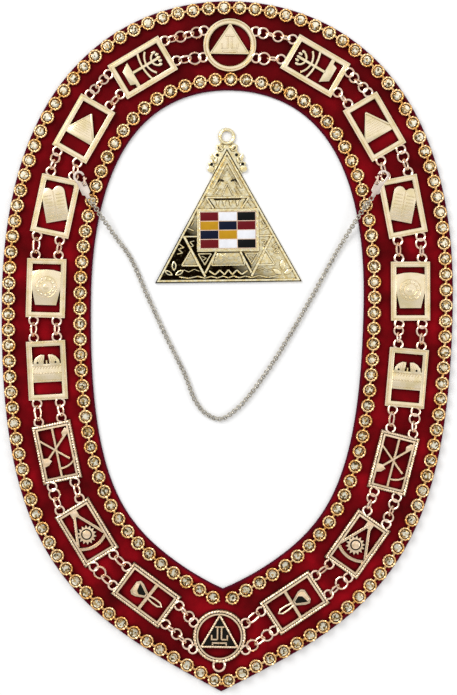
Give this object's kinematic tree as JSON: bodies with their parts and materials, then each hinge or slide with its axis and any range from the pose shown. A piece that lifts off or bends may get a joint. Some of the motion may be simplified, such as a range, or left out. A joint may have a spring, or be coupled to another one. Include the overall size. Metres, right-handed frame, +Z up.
{
  "type": "masonic chain collar with its pendant jewel",
  "caption": "Pointed velvet collar with a chain of pierced figured plaques between strings of cup-set stones, a clasped safety chain and a triangular pendant jewel lying in its opening.",
  "frame": {"origin": "middle of the collar's box, on the surface that the velvet lies on", "axes": "+Y from the point towards the neck end, +X to the right as seen from above, +Z up out of the face"},
  "size_m": [0.384, 0.5874, 0.0123],
  "materials": {
    "velvet": "deep crimson velvet",
    "pale_gold": "bright pale gold plating",
    "link_gold": "bright rose gold wire",
    "cup_stones": "rose gold cups with champagne stones",
    "steel": "polished silver plating",
    "enamel": "glossy fired enamel"
  },
  "bodies": {
    "collar": {"velvet_left_upper": "velvet", "velvet_left_lower": "velvet", "velvet_right_upper": "velvet", "velvet_right_lower": "velvet", "outer_stone_string": "cup_stones", "inner_stone_string": "cup_stones", "top_medallion": "pale_gold", "bottom_medallion": "pale_gold", "candlestick_plaque_left": "pale_gold", "triangle_plaque_left": "pale_gold", "tablets_plaque_left": "pale_gold", "keystone_plaque_left": "pale_gold", "chest_plaque_left": "pale_gold", "crossed_tools_plaque_left": "pale_gold", "compasses_plaque_left": "pale_gold", "trowel_plaque_left": "pale_gold", "candlestick_plaque_right": "pale_gold", "triangle_plaque_right": "pale_gold", "tablets_plaque_right": "pale_gold", "keystone_plaque_right": "pale_gold", "chest_plaque_right": "pale_gold", "crossed_tools_plaque_right": "pale_gold", "compasses_plaque_right": "pale_gold", "trowel_plaque_right": "pale_gold", "link_strand_left_1_outer": "link_gold", "link_strand_left_1_inner": "link_gold", "link_strand_left_2_outer": "link_gold", "link_strand_left_2_inner": "link_gold", "link_strand_left_3_outer": "link_gold", "link_strand_left_3_inner": "link_gold", "link_strand_left_4_outer": "link_gold", "link_strand_left_4_inner": "link_gold", "link_strand_left_5_outer": "link_gold", "link_strand_left_5_inner": "link_gold", "link_strand_left_6_outer": "link_gold", "link_strand_left_6_inner": "link_gold", "link_strand_left_7_outer": "link_gold", "link_strand_left_7_inner": "link_gold", "link_strand_right_1_outer": "link_gold", "link_strand_right_1_inner": "link_gold", "link_strand_right_2_outer": "link_gold", "link_strand_right_2_inner": "link_gold", "link_strand_right_3_outer": "link_gold", "link_strand_right_3_inner": "link_gold", "link_strand_right_4_outer": "link_gold", "link_strand_right_4_inner": "link_gold", "link_strand_right_5_outer": "link_gold", "link_strand_right_5_inner": "link_gold", "link_strand_right_6_outer": "link_gold", "link_strand_right_6_inner": "link_gold", "link_strand_right_7_outer": "link_gold", "link_strand_right_7_inner": "link_gold", "clasp_left": "steel", "clasp_right": "steel", "safety_chain": "steel", "jewel_plate": "pale_gold", "jewel_enamel": "enamel"},
    "left_lever": {"clasp_lever_left": "steel"},
    "right_lever": {"clasp_lever_right": "steel"}
  },
  "joints": [
    {"name": "left_lever_hinge", "type": "hinge", "parent": "collar", "child": "left_lever", "pos_m": [-0.12205, 0.13548, 0.01025], "axis": [0, 0, 1], "range_deg": [0, 28], "stiffness_Nm_per_rad": 0.01, "springref_deg": -20.05},
    {"name": "right_lever_hinge", "type": "hinge", "parent": "collar", "child": "right_lever", "pos_m": [0.12503, 0.14034, 0.01025], "axis": [0, 0, -1], "range_deg": [0, 28], "stiffness_Nm_per_rad": 0.01, "springref_deg": -20.05}
  ]
}
